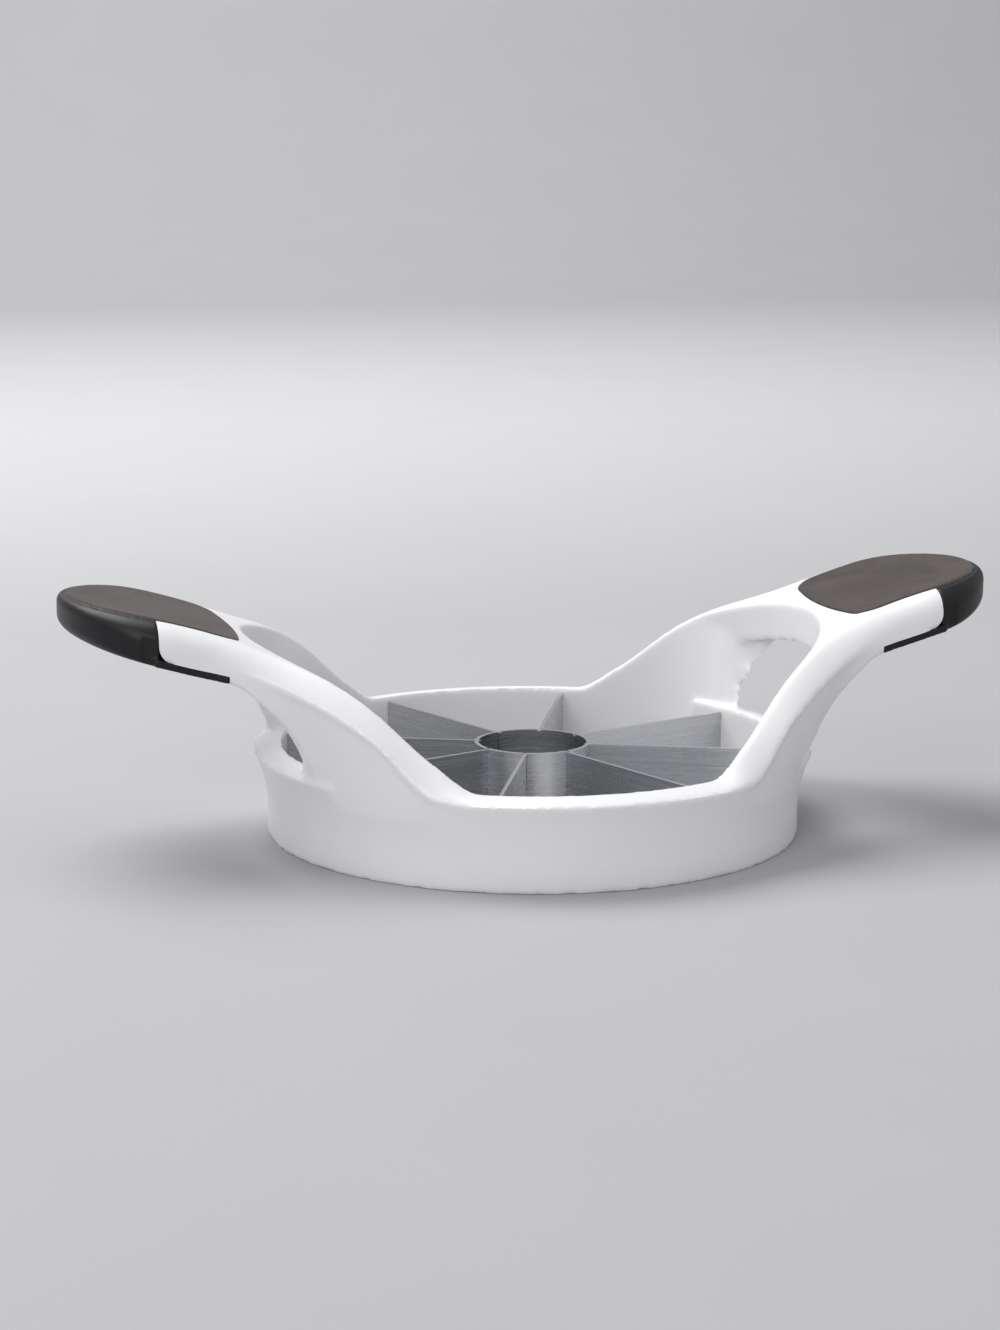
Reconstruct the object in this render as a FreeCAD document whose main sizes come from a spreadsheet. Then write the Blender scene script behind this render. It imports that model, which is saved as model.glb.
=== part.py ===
import FreeCAD, Part
import Sketcher
import math
import os
import re
from FreeCAD import Vector

doc = FreeCAD.newDocument("apple_divider")

# Driving dimensions, in millimetres and degrees
SIZES = {
    "bead_radius": 57.8,
    "wall_radius": 55.0,
    "bore_radius": 51.9,
    "rim_height": 18.7,
    "bead_height": 17.4,
    "flare_middle": 13.0,
    "flare_start": 5.8,
    "rim_flat": 0.9,
    "rise_start": 23.0,
    "knee_out": 31.0,
    "knee_height": 23.8,
    "mid_arm_out": 43.0,
    "mid_arm_height": 34.8,
    "neck_out": 62.0,
    "neck_height": 44.1,
    "grip_out": 80.0,
    "grip_height": 49.9,
    "tip_height": 53.8,
    "crease_start": 31.5,
    "crease_mid_out": 43.0,
    "crease_mid_height": 28.0,
    "crease_neck_out": 60.0,
    "crease_neck_height": 37.4,
    "crease_side_out": 67.5,
    "crease_side_height": 39.9,
    "side_edge_round": 5.0,
    "rail_leave_angle": 54.0,
    "handle_half_width": 24.6,
    "neck_fillet": 29.0,
    "handle_reach": 97.3,
    "handle_end_depth": 20.0,
    "foot_out": 50.9,
    "finger_low_out": 54.4,
    "finger_low_height": 25.5,
    "finger_high_out": 61.0,
    "finger_high_height": 33.4,
    "underside_start_out": 67.0,
    "underside_start_height": 37.9,
    "underside_mid_out": 80.0,
    "underside_mid_height": 41.3,
    "underside_end_out": 91.0,
    "underside_end_height": 45.0,
    "tip_underside_height": 49.5,
    "pad_dish": 0.15,
    "grip_proud": 0.2,
    "crotch_out": 60.0,
        "window_out": 80.5,
    "window_corner": 3.5,
    "pad_half_width": 19.3,
    "pad_end_out": 62.4,
    "pad_end_radius": 90.0,
    "pad_thickness": 2.2,
    "core_cover": 2.6,
    "web_thickness": 8.5,
    "key_hole_out": 86.5,
    "strip_end_out": 67.2,
    "strip_thickness": 1.5,
    "core_side_cover": 4.5,
    "key_hole_radius": 3.0,
    "key_hole_spacing": 12.0,
    "blade_thickness": 0.7,
    "blade_bottom": 1.4,
    "blade_top": 17.6,
    "bevel_height": 1.8,
    "edge_land": 0.12,
    "tang_depth": 2.2,
    "tang_bottom": 3.4,
    "tang_top": 14.4,
    "tang_hole_radius": 0.6,
    "core_radius": 12.0,
    "core_wall": 0.8,
    "core_top": 17.8,
    "slot_depth": 8.0,
    "slot_clearance": 0.06,
    "tongue_through": 0.4,
}
BLADE_COUNT = 8

sheet = doc.addObject("Spreadsheet::Sheet", "sizes")
for row, (alias, value) in enumerate(SIZES.items(), start=1):
    sheet.set("A%d" % row, alias)
    sheet.set("B%d" % row, str(value))
    sheet.setAlias("B%d" % row, alias)
doc.recompute()


def size(alias):
    """The value that the sheet holds under one alias."""
    return float(sheet.get(alias))


# Side profiles of the handle, as heights over the distance out from the middle
def smooth_curve(points, first_slope=0.0):
    """A smooth height function through (out, height) points."""
    outs = [point[0] for point in points]
    heights = [point[1] for point in points]
    slopes = [first_slope]
    for index in range(1, len(points) - 1):
        before = (heights[index] - heights[index - 1]) / (outs[index] - outs[index - 1])
        after = (heights[index + 1] - heights[index]) / (outs[index + 1] - outs[index])
        share = (outs[index] - outs[index - 1]) / (outs[index + 1] - outs[index - 1])
        slopes.append(before * (1 - share) + after * share)
    slopes.append((heights[-1] - heights[-2]) / (outs[-1] - outs[-2]))

    def height(out):
        if out <= outs[0]:
            return heights[0]
        for index in range(len(outs) - 1):
            if out <= outs[index + 1] or index == len(outs) - 2:
                span = outs[index + 1] - outs[index]
                t = (out - outs[index]) / span
                if t > 1:
                    return heights[-1] + slopes[-1] * (out - outs[-1])
                a = (1 + 2 * t) * (1 - t) ** 2
                b = t * (1 - t) ** 2 * span
                c = t * t * (3 - 2 * t)
                d = t * t * (t - 1) * span
                return a * heights[index] + b * slopes[index] + c * heights[index + 1] + d * slopes[index + 1]
    return height


crest = smooth_curve([
    (size("rise_start"), size("rim_height")),
    (size("knee_out"), size("knee_height")),
    (size("mid_arm_out"), size("mid_arm_height")),
    (size("neck_out"), size("neck_height")),
    (size("grip_out"), size("grip_height")),
    (size("handle_reach"), size("tip_height")),
])
crease = smooth_curve([
    (size("crease_start"), size("bead_height")),
    (size("crease_mid_out"), size("crease_mid_height")),
    (size("crease_neck_out"), size("crease_neck_height")),
    (size("crease_side_out"), size("crease_side_height")),
    (size("grip_out"), size("grip_height") - size("side_edge_round")),
    (size("handle_reach"), size("tip_height") - size("side_edge_round")),
])


class Rail:
    """The plan outline of the near left quarter: ring, tangent arm, neck fillet, handle side and end."""

    def __init__(self):
        self.radius = size("bead_radius")
        self.leave = math.radians(size("rail_leave_angle"))
        self.half_width = size("handle_half_width")
        self.fillet = size("neck_fillet")
        self.start = Vector(-math.cos(self.leave), -math.sin(self.leave), 0) * self.radius
        self.along = Vector(-math.sin(self.leave), math.cos(self.leave), 0)
        self.turn = math.pi / 2 - self.leave
        reach_side = (-self.half_width - self.start.y) / self.along.y
        tangent = self.fillet * math.tan(self.turn / 2)
        corner = self.start + self.along * reach_side
        self.fillet_centre = Vector(corner.x - tangent, -self.half_width - self.fillet, 0)
        self.ring_length = self.turn * self.radius
        self.line_length = reach_side - tangent
        self.fillet_length = self.turn * self.fillet
        self.end_depth = size("handle_end_depth")
        self.side_end = self.end_depth - size("handle_reach")
        self.side_length = self.fillet_centre.x - self.side_end
        self.window_length = self.end_depth * math.asin((size("window_out") + self.side_end) / self.end_depth)
        self.to_window = self.ring_length + self.line_length + self.fillet_length
        self.to_window += self.side_length + self.window_length

    def at(self, distance):
        """The outline's point and its inward direction, a distance away from the front middle."""
        if distance <= self.ring_length:
            a = math.pi / 2 - distance / self.radius
            inward = Vector(math.cos(a), math.sin(a), 0)
            return inward * -self.radius, inward
        distance -= self.ring_length
        if distance <= self.line_length:
            inward = Vector(math.cos(self.leave), math.sin(self.leave), 0)
            return self.start + self.along * distance, inward
        distance -= self.line_length
        if distance <= self.fillet_length:
            a = self.leave + distance / self.fillet
            inward = Vector(math.cos(a), math.sin(a), 0)
            return self.fillet_centre + inward * self.fillet, inward
        distance -= self.fillet_length
        if distance <= self.side_length:
            return Vector(self.fillet_centre.x - distance, -self.half_width, 0), Vector(0, 1, 0)
        distance -= self.side_length
        a = distance / self.end_depth
        inward = Vector(self.half_width * math.sin(a), self.end_depth * math.cos(a), 0).normalize()
        across = -self.half_width * math.cos(a)
        return Vector(self.side_end - self.end_depth * math.sin(a), across, 0), inward


rail = Rail()


def inset_to_circle(point, inward, radius):
    """How far inward from a rail point a circle about the middle is met."""
    along = point.dot(inward)
    across = point.dot(point) - along * along
    return -along - math.sqrt(max(radius * radius - across, 0.0))


def flare_radius(height):
    """The ring's outer radius on its concave flare, an arc that starts upright."""
    rise = size("bead_height") - size("flare_start")
    out = size("bead_radius") - size("wall_radius")
    arc = (rise * rise + out * out) / (2 * out)
    up = height - size("flare_start")
    return size("wall_radius") + arc - math.sqrt(arc * arc - up * up)


def ease(value):
    """0 below 0, 1 above 1, and a smooth step between."""
    t = min(max(value, 0.0), 1.0)
    return t * t * (3 - 2 * t)


RING_FULLNESS = 0.35
ARM_FULLNESS = 0.25
ROUND_FULLNESS = 4 * (math.sqrt(2) - 1) / 3
FOOT_STATION = rail.at(rail.ring_length + 0.92 * rail.line_length)


def section_wire(point, inward):
    """One upright section of the wall, as a closed wire."""
    out = abs(point.x)
    beyond = ease((out - size("foot_out") - 3) / (size("underside_start_out") + 3 - size("foot_out") - 3))
    stands = 1 - beyond
    base = (point, inward) if out < abs(FOOT_STATION[0].x) else FOOT_STATION
    wall = inset_to_circle(*base, size("wall_radius")) * stands
    middle = inset_to_circle(*base, flare_radius(size("flare_middle"))) * stands
    bore = inset_to_circle(*base, size("bore_radius"))
    crest_inset = size("bead_radius") - size("bore_radius") - size("rim_flat")
    crest_point = point + inward * crest_inset
    crest_height = crest(abs(crest_point.x))
    inner = crest_inset + size("rim_flat") + beyond * 2.0
    low_inner = inner + (bore - inner) * stands
    crease_height = crease(out)
    middle_height = size("flare_middle")
    rising = ease((out - size("rise_start")) / 12)
    fullness = RING_FULLNESS + (ARM_FULLNESS - RING_FULLNESS) * rising + (ROUND_FULLNESS - ARM_FULLNESS) * beyond

    def at(inset, height):
        return Vector(point.x + inward.x * inset, point.y + inward.y * inset, height)

    band = Part.BezierCurve()
    near_crest = crest_inset * (1 - fullness)
    near_crease = crease_height + (crest_height - crease_height) * fullness
    band.setPoles([at(crest_inset, crest_height), at(near_crest, crest_height), at(0, near_crease), at(0, crease_height)])
    web = Part.BezierCurve()
    web_control = (middle * 0.62, middle_height + 0.55 * (crease_height - middle_height))
    web.setPoles([at(0, crease_height), at(*web_control), at(middle, middle_height)])
    flare = Part.BezierCurve()
    flare_control = (wall, (middle_height + size("flare_start")) / 2)
    flare.setPoles([at(middle, middle_height), at(*flare_control), at(wall, size("flare_start"))])
    corners = [
        at(wall, size("flare_start")),
        at(wall, 0),
        at(low_inner, 0),
        at(low_inner, middle_height),
        at(inner, crest(abs(point.x + inward.x * inner))),
        at(crest_inset, crest_height),
    ]
    edges = [band.toShape(), web.toShape(), flare.toShape()]
    for first, second in zip(corners, corners[1:]):
        edges.append(Part.makeLine(first, second))
    return Part.Wire(edges)


def mirrored(station):
    point, inward = station
    return Vector(-point.x, point.y, 0), Vector(-inward.x, inward.y, 0)


def near_half():
    """The near half of the moulding's outer wall, from one window's end round the front to the other."""
    length = rail.to_window + LOFT_RUN_OUT
    count = round(length / STATION_SPACING)
    left = [rail.at(length * index / count) for index in range(count, 0, -1)]
    stations = left + [rail.at(0)] + [mirrored(station) for station in reversed(left)]
    wires = [section_wire(point, inward) for point, inward in stations]
    joint = size("window_out")
    between_joints = Part.makeBox(2 * joint, FAR, HIGH, Vector(-joint, -FAR, 0))
    return Part.makeLoft(wires, True, False).common(between_joints)


LOFT_RUN_OUT = 8.0
STATION_SPACING = 7.0
FAR = 140.0
LOW = -5.0
HIGH = 90.0

underside = smooth_curve([
    (size("foot_out"), size("bead_height")),
    (size("finger_low_out"), size("finger_low_height")),
    (size("finger_high_out"), size("finger_high_height")),
    (size("underside_start_out"), size("underside_start_height")),
    (size("underside_mid_out"), size("underside_mid_height")),
    (size("underside_end_out"), size("underside_end_height")),
    (size("handle_reach"), size("tip_underside_height")),
], first_slope=2.6)

FAR = 140.0
LOW = -5.0
HIGH = 90.0


def profile_edge(height, out_from, out_to, count=10):
    """An edge in the XZ plane that follows a height function on the left side."""
    points = []
    for index in range(count + 1):
        out = out_from + (out_to - out_from) * index / count
        points.append(Vector(-out, 0, height(out)))
    curve = Part.BSplineCurve()
    curve.interpolate(points)
    return curve.toShape()


def across(face, half_width=60.0):
    """A face in the XZ plane, carried across the handle to both sides."""
    face.translate(Vector(0, -half_width, 0))
    return face.extrude(Vector(0, 2 * half_width, 0))


def slab(lower, upper, out_from, out_to, half_width=60.0):
    """The solid between two height functions, carried across the handle."""
    low_edge = profile_edge(lower, out_from, out_to)
    high_edge = profile_edge(upper, out_from, out_to)
    first = Part.makeLine(low_edge.Vertexes[0].Point, high_edge.Vertexes[0].Point)
    last = Part.makeLine(low_edge.Vertexes[-1].Point, high_edge.Vertexes[-1].Point)
    wire = Part.Wire(Part.__sortEdges__([low_edge, last, high_edge, first]))
    return across(Part.Face(wire), half_width)


def end_prism(inset, start_out):
    """An upright prism of the left handle's rounded end, from a distance out to the tip."""
    half_width = size("handle_half_width") - inset
    reach = size("handle_reach") - inset
    depth = reach + rail.side_end
    tip = Part.Ellipse(Vector(rail.side_end, half_width, 0), Vector(-reach, 0, 0), Vector(rail.side_end, 0, 0))
    start = math.asin((start_out + rail.side_end) / depth)
    arc = Part.Arc(tip, start, math.pi - start).toShape()
    closing = Part.makeLine(arc.Vertexes[1].Point, arc.Vertexes[0].Point)
    return Part.Face(Part.Wire([arc, closing])).extrude(Vector(0, 0, HIGH))


def web_prism(inset):
    """An upright prism between the two arms' walls, from beside the ring to inside the handle."""
    first = rail.ring_length + 2.0
    last = rail.to_window + LOFT_RUN_OUT / 2
    near = []
    for index in range(10):
        point, inward = rail.at(first + (last - first) * index / 9)
        near.append(point + inward * inset)
    near_curve = Part.BSplineCurve()
    near_curve.interpolate(near)
    near_edge = near_curve.toShape()
    far_edge = near_edge.mirror(Vector(0, 0, 0), Vector(0, 1, 0))
    edges = [near_edge, far_edge]
    for point in (near[0], near[-1]):
        edges.append(Part.makeLine(point, Vector(point.x, -point.y, 0)))
    wire = Part.Wire(Part.__sortEdges__(edges))
    return Part.Face(wire).extrude(Vector(0, 0, HIGH))


def to_right(shape):
    return shape.mirror(Vector(0, 0, 0), Vector(1, 0, 0))


def foot_sector(top):
    """The wedge of the left ring end between the two arms' feet."""
    foot_side = math.sqrt(size("bead_radius") ** 2 - size("foot_out") ** 2)
    far = FAR * foot_side / size("foot_out")
    corners = [Vector(0, 0, LOW), Vector(-FAR, -far, LOW), Vector(-FAR, far, LOW), Vector(0, 0, LOW)]
    return Part.Face(Part.makePolygon(corners)).extrude(Vector(0, 0, top - LOW))


def below_handle():
    return slab(lambda out: LOW, underside, size("foot_out"), FAR)


def grip_end():
    """The black end of the left handle, with its rounded upper edge, a little proud of the white moulding."""
    joint = size("window_out")
    proud = size("grip_proud")
    top = lambda out: crest(out) + proud
    thick = slab(lambda out: LOW, top, joint - 1, size("handle_reach") + 1).common(end_prism(-proud, joint))
    rounded = []
    for edge in thick.Edges:
        ends = [vertex.Point for vertex in edge.Vertexes]
        on_top = all(point.z > top(abs(point.x)) - 0.05 for point in ends)
        straight = edge.Curve.TypeId == "Part::GeomLine"
        if on_top and not straight:
            rounded.append(edge)
    return thick.makeFillet(size("side_edge_round"), rounded).cut(below_handle())


def handle_web():
    """The plate between the two arms of the left handle, open towards the ring in a round crotch."""
    hood_below = lambda out: max(underside(out), crest(out) - size("web_thickness"))
    dished = lambda out: crest(out) - size("pad_dish")
    plate = slab(hood_below, dished, 30, size("window_out")).common(web_prism(size("core_side_cover")))
    centre = (size("crotch_out") - size("bore_radius")) / (1 - math.cos(rail.leave))
    return plate.cut(Part.makeCylinder(size("crotch_out") - centre, HIGH, Vector(-centre, 0, 0)))


def moulding_blank():
    """The outer form between the two black ends, before the pads and strips are taken out of it."""
    half = near_half()
    low_sector = foot_sector(size("bead_height"))
    clear = [below_handle(), to_right(below_handle()), low_sector, to_right(low_sector)]
    walls = [part.cut(clear) for part in (half, half.mirror(Vector(0, 0, 0), Vector(0, 1, 0)))]
    ring = Part.Face(section_wire(*rail.at(0))).revolve(Vector(0, 0, 0), Vector(0, 0, 1), 360)
    high_sector = foot_sector(HIGH)
    parts = [walls[1], handle_web(), ring.common(high_sector)]
    right = [to_right(part) for part in parts[1:]]
    return walls[0].fuse(parts + right)


def strip_zone():
    """Where the left handle is black under the white window, with the window's rounded lower corner."""
    past_window = size("window_out") + 4
    tip = Part.makeBox(FAR - size("window_out"), FAR, HIGH, Vector(-FAR, -FAR / 2, 0))
    strip_top = lambda out: underside(out) + size("strip_thickness")
    strip = slab(lambda out: LOW, strip_top, size("strip_end_out"), past_window)
    below = tip.fuse(strip).removeSplitter()
    corner = []
    for edge in below.Edges:
        box = edge.BoundBox
        upright = abs(box.XMin + size("window_out")) < 0.02 and box.XLength < 0.02
        if upright and box.YLength > FAR / 2 and abs(box.ZMin - strip_top(size("window_out"))) < 0.3:
            corner.append(edge)
    return below.makeFillet(size("window_corner"), corner)


def grip_pad():
    """The pad that the thumb or palm rests on, let into the top of the left handle."""
    low = lambda out: crest(out) - size("pad_thickness")
    high = lambda out: crest(out) + size("grip_proud") / 2
    half_width = size("pad_half_width")
    past_window = size("window_out") + 2
    plan = Part.makeBox(past_window, 2 * half_width, HIGH, Vector(-past_window, -half_width, 0))
    end_radius = size("pad_end_radius")
    round_end = Part.makeCylinder(end_radius, HIGH, Vector(-size("pad_end_out") - end_radius, 0, 0))
    block = slab(low, high, size("pad_end_out") - 2, past_window)
    return block.common(plan).common(round_end)


def grip_core():
    """The frame's tongue inside the left grip, with the holes that key the soft moulding to it."""
    cover = size("core_cover")
    start = size("window_out") - 2
    inner = slab(lambda out: underside(out) + cover, lambda out: crest(out) - cover, start, size("handle_reach"))
    tongue = inner.common(end_prism(size("core_side_cover"), start))
    holes = []
    for place in (-1, 0, 1):
        centre = Vector(-size("key_hole_out"), place * size("key_hole_spacing"), 0)
        holes.append(Part.makeCylinder(size("key_hole_radius"), HIGH, centre))
    return tongue.cut(holes)


def feature(name, shape):
    """A shape made above, as an object of the document."""
    made = doc.addObject("Part::Feature", name)
    made.Shape = shape
    return made


def boolean(kind, name, base, tool):
    made = doc.addObject("Part::" + kind, name)
    made.Base = base
    made.Tool = tool
    return made


def plane_of(body, role):
    return next(item for item in body.Origin.OriginFeatures if item.Role == role)


def closed_outline(sketch, corners):
    """A closed polygon whose corners are pairs of expressions, each bound to the sheet."""
    count = len(corners)
    places = []
    for across, up in corners:
        places.append(Vector(sheet.evalExpression(across), sheet.evalExpression(up), 0))
    first = sketch.GeometryCount
    for index in range(count):
        sketch.addGeometry(Part.LineSegment(places[index], places[(index + 1) % count]), False)
    for index in range(count):
        line = first + index
        sketch.addConstraint(Sketcher.Constraint("Coincident", line, 2, first + (index + 1) % count, 1))
        bind(sketch, "DistanceX", line, corners[index][0], places[index].x)
        bind(sketch, "DistanceY", line, corners[index][1], places[index].y)


def bind(sketch, kind, line, expression, value):
    """Hold the start of a line at a distance from the sketch's origin."""
    constraint = sketch.addConstraint(Sketcher.Constraint(kind, -1, 1, line, 1, value))
    sketch.setExpression("Constraints[%d]" % constraint, named(expression))


def named(expression):
    return re.sub(r"([a-z]+_[a-z_]+)", r"sizes.\1", expression)


def new_sketch(body, role, name):
    sketch = body.newObject("Sketcher::SketchObject", name)
    sketch.AttachmentSupport = [(plane_of(body, role), "")]
    sketch.MapMode = "FlatFace"
    return sketch


def make_blade(number):
    """One steel strip: a vee-edged bar, cut back at its ends to a tongue inside and a tang outside."""
    name = "blade_%d" % number
    body = doc.addObject("PartDesign::Body", name)
    strip = new_sketch(body, "YZ_Plane", name + "_section")
    strip.setExpression("AttachmentOffset.Base.z", named("core_radius - core_wall - tongue_through"))
    closed_outline(strip, [
        ("-edge_land / 2", "blade_bottom"),
        ("edge_land / 2", "blade_bottom"),
        ("blade_thickness / 2", "blade_bottom + bevel_height"),
        ("blade_thickness / 2", "blade_top"),
        ("-blade_thickness / 2", "blade_top"),
        ("-blade_thickness / 2", "blade_bottom + bevel_height"),
    ])
    bar = body.newObject("PartDesign::Pad", name + "_bar")
    bar.Profile = strip
    bar.setExpression("Length", named("bore_radius + tang_depth - (core_radius - core_wall - tongue_through)"))
    ends = new_sketch(body, "XZ_Plane", name + "_ends")
    tongue_bottom = "core_top - slot_depth + slot_clearance"
    inside = "core_radius + slot_clearance"
    closed_outline(ends, [("0", "0"), (inside, "0"), (inside, tongue_bottom), ("0", tongue_bottom)])
    plain = "bore_radius - slot_clearance"
    past = "bead_radius"
    closed_outline(ends, [(plain, "0"), (past, "0"), (past, "tang_bottom"), (plain, "tang_bottom")])
    closed_outline(ends, [(plain, "tang_top"), (past, "tang_top"), (past, "core_top"), (plain, "core_top")])
    cut = body.newObject("PartDesign::Pocket", name + "_cut")
    cut.Profile = ends
    cut.Type = "ThroughAll"
    cut.Midplane = True
    holes = new_sketch(body, "XZ_Plane", name + "_holes")
    for share in ("0.3", "0.7"):
        across = "bore_radius + tang_depth / 2"
        up = "tang_bottom + (tang_top - tang_bottom) * " + share
        place = Vector(sheet.evalExpression(across), sheet.evalExpression(up), 0)
        circle = holes.addGeometry(Part.Circle(place, Vector(0, 0, 1), size("tang_hole_radius")), False)
        for kind, expression, value in (("DistanceX", across, place.x), ("DistanceY", up, place.y)):
            constraint = holes.addConstraint(Sketcher.Constraint(kind, -1, 1, circle, 3, value))
            holes.setExpression("Constraints[%d]" % constraint, named(expression))
        constraint = holes.addConstraint(Sketcher.Constraint("Radius", circle, size("tang_hole_radius")))
        holes.setExpression("Constraints[%d]" % constraint, named("tang_hole_radius"))
    drilled = body.newObject("PartDesign::Pocket", name + "_keys")
    drilled.Profile = holes
    drilled.Type = "ThroughAll"
    drilled.Midplane = True
    body.Placement.Rotation = FreeCAD.Rotation(Vector(0, 0, 1), (number - 0.5) * 360 / BLADE_COUNT)
    return body


def make_core_ring():
    """The steel tube that rings the core, ground to an edge below and slotted from the top for the blades."""
    body = doc.addObject("PartDesign::Body", "core_ring")
    wall = new_sketch(body, "XZ_Plane", "core_ring_wall")
    inner = "core_radius - core_wall"
    closed_outline(wall, [
        (inner, "blade_bottom + bevel_height"),
        ("core_radius - edge_land", "blade_bottom"),
        ("core_radius", "blade_bottom"),
        ("core_radius", "core_top"),
        (inner, "core_top"),
    ])
    tube = body.newObject("PartDesign::Revolution", "core_ring_tube")
    tube.Profile = wall
    tube.ReferenceAxis = (wall, ["V_Axis"])
    tube.Angle = 360
    slot = new_sketch(body, "YZ_Plane", "core_ring_slot_outline")
    half_gap = "blade_thickness / 2 + slot_clearance"
    closed_outline(slot, [
        ("-(%s)" % half_gap, "core_top - slot_depth"),
        (half_gap, "core_top - slot_depth"),
        (half_gap, "core_top + 1"),
        ("-(%s)" % half_gap, "core_top + 1"),
    ])
    cut = body.newObject("PartDesign::Pocket", "core_ring_slot")
    cut.Profile = slot
    cut.Type = "ThroughAll"
    cut.Midplane = True
    doc.recompute()
    slots = body.newObject("PartDesign::PolarPattern", "core_ring_slots")
    slots.Originals = [cut]
    slots.Axis = (wall, ["V_Axis"])
    slots.Occurrences = BLADE_COUNT // 2
    slots.Angle = 180 - 360 / BLADE_COUNT
    body.Tip = slots
    body.Placement.Rotation = FreeCAD.Rotation(Vector(0, 0, 1), 180 / BLADE_COUNT)
    return body


blades = [make_blade(number) for number in range(1, BLADE_COUNT + 1)]
core_ring = make_core_ring()
doc.recompute()

blank = feature("moulding_blank", moulding_blank())
grips = []
tongues = []
for name, turned in (("left_grip", lambda shape: shape), ("right_grip", to_right)):
    zone = feature(name + "_zone", turned(strip_zone()))
    pad = feature(name + "_pad", turned(grip_pad()))
    end = feature(name + "_end", turned(grip_end()))
    tongue = feature(name + "_tongue", turned(grip_core()))
    tongues.append(tongue)
    skin = boolean("Common", name + "_skin", blank, zone)
    whole = doc.addObject("Part::MultiFuse", name + "_whole")
    whole.Shapes = [end, skin, pad]
    grips.append(boolean("Cut", name, whole, tongue))
inserts = doc.addObject("Part::MultiFuse", "inserts")
inserts.Shapes = grips + blades
core = doc.addObject("Part::MultiFuse", "moulding")
core.Shapes = [blank] + tongues
frame = boolean("Cut", "frame", core, inserts)
doc.recompute()

pieces = [frame] + grips + [core_ring] + blades
for made in doc.Objects:
    if {"Invalid", "Error"} & set(made.State):
        raise RuntimeError("%s has failed: %s" % (made.Name, made.State))
for piece in pieces:
    piece.Label = piece.Name
    if piece.Shape.isNull() or not piece.Shape.isValid() or len(piece.Shape.Solids) != 1:
        raise RuntimeError("%s is not one sound solid" % piece.Name)

os.makedirs("parts", exist_ok=True)
for piece in pieces:
    piece.Shape.exportStep("parts/%s.step" % piece.Label)
    print(piece.Label, round(piece.Shape.Volume, 1), len(piece.Shape.Faces))
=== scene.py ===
# %% [markdown]
# # An apple slicer with wishbone handles
# This rigid kitchen tool is pushed down with both hands. A white moulded ring carries eight steel
# blades, its wall sweeps up on both sides into a handle, and a soft black grip is moulded over each
# handle.
# The blades and the core ring come from the construction model as they are. The moulding and the
# grips are remade here as fine smooth meshes, because their soft curves catch the light.

# %% Load the construction model
import math

import bmesh
import bpy
from mathutils import Matrix, Vector


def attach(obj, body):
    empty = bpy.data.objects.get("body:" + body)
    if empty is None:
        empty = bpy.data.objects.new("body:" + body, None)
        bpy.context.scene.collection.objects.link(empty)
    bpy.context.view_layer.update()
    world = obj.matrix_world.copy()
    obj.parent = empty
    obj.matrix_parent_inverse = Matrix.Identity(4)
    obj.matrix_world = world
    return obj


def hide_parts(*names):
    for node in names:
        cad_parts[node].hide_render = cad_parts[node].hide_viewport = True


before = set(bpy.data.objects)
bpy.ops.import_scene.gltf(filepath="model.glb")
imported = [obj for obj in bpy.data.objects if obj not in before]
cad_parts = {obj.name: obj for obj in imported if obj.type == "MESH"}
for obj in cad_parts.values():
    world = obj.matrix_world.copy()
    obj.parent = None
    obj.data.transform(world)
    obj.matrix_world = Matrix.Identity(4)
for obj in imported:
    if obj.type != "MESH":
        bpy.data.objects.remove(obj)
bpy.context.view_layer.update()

# %% [markdown]
# ## The sizes of the moulding
# The outline of the handle is described as the designer would: a ring, an arm that leaves it on a
# tangent, a fillet at the neck, a straight side and a rounded end. Heights are given over the
# distance out from the middle. All of them are millimetres, turned to metres at the very end.

# %% Sizes of the ring, the arms and the handles
MM = 0.001
BEAD_RADIUS = 57.8
WALL_RADIUS = 55.0
BORE_RADIUS = 51.9
RIM_HEIGHT = 18.7
BEAD_HEIGHT = 17.4
FLARE_START = 5.8
FLARE_MIDDLE = 13.0
BAND_WIDTH = 5.0
RIM_FLAT = 0.9
LEAVE_ANGLE = math.radians(54)
HALF_WIDTH = 24.6
NECK_FILLET = 29.0
REACH = 97.2
END_DEPTH = 20.0
SIDE_END = REACH - END_DEPTH
FOOT_OUT = 50.9
HANDLE_BLEND = 16.1
BAND_LIP = 0.9
FOOT_STATION_SHARE = 0.92
HANDLE_BLEND_DELAY = 3.0
RISE_BLEND = 12.0
INNER_SHIFT = 2.0
WEB_HOLLOW_INSET = 0.62
WEB_HOLLOW_HEIGHT = 0.55
FOOT_TUCK = 4.0
FOOT_TUCK_START = 44.0
FOOT_TUCK_LENGTH = 10.0
WINDOW_OUT = 80.5
CROTCH_OUT = 60.0
WEB_THICKNESS = 8.5
PAD_DISH = 0.15

CREST_POINTS = [(23.0, 18.7), (31.0, 23.8), (43.0, 34.8), (62.0, 44.1), (80.0, 49.9), (97.2, 52.9)]
CREASE_POINTS = [(31.5, 17.4), (43.0, 28.0), (60.0, 37.4), (67.5, 39.9), (80.0, 44.9), (97.2, 47.9)]
UNDERSIDE_POINTS = [
    (50.9, 17.4), (54.4, 25.5), (61.0, 33.4), (66.0, 37.4), (69.0, 38.3),
    (73.0, 39.3), (80.0, 41.3), (91.0, 44.2), (97.2, 46.0),
]
UNDERSIDE_FIRST_SLOPE = 2.6
TINY = 1e-6
print("reach, handle width and ring width, mm:", REACH, 2 * HALF_WIDTH, 2 * BEAD_RADIUS)

# %% [markdown]
# ## Heights as smooth curves
# The crest, the crease under the band and the underside each run through a few chosen heights. A
# cubic between neighbouring points, with matching slopes, keeps the light on them free of kinks.


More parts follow.
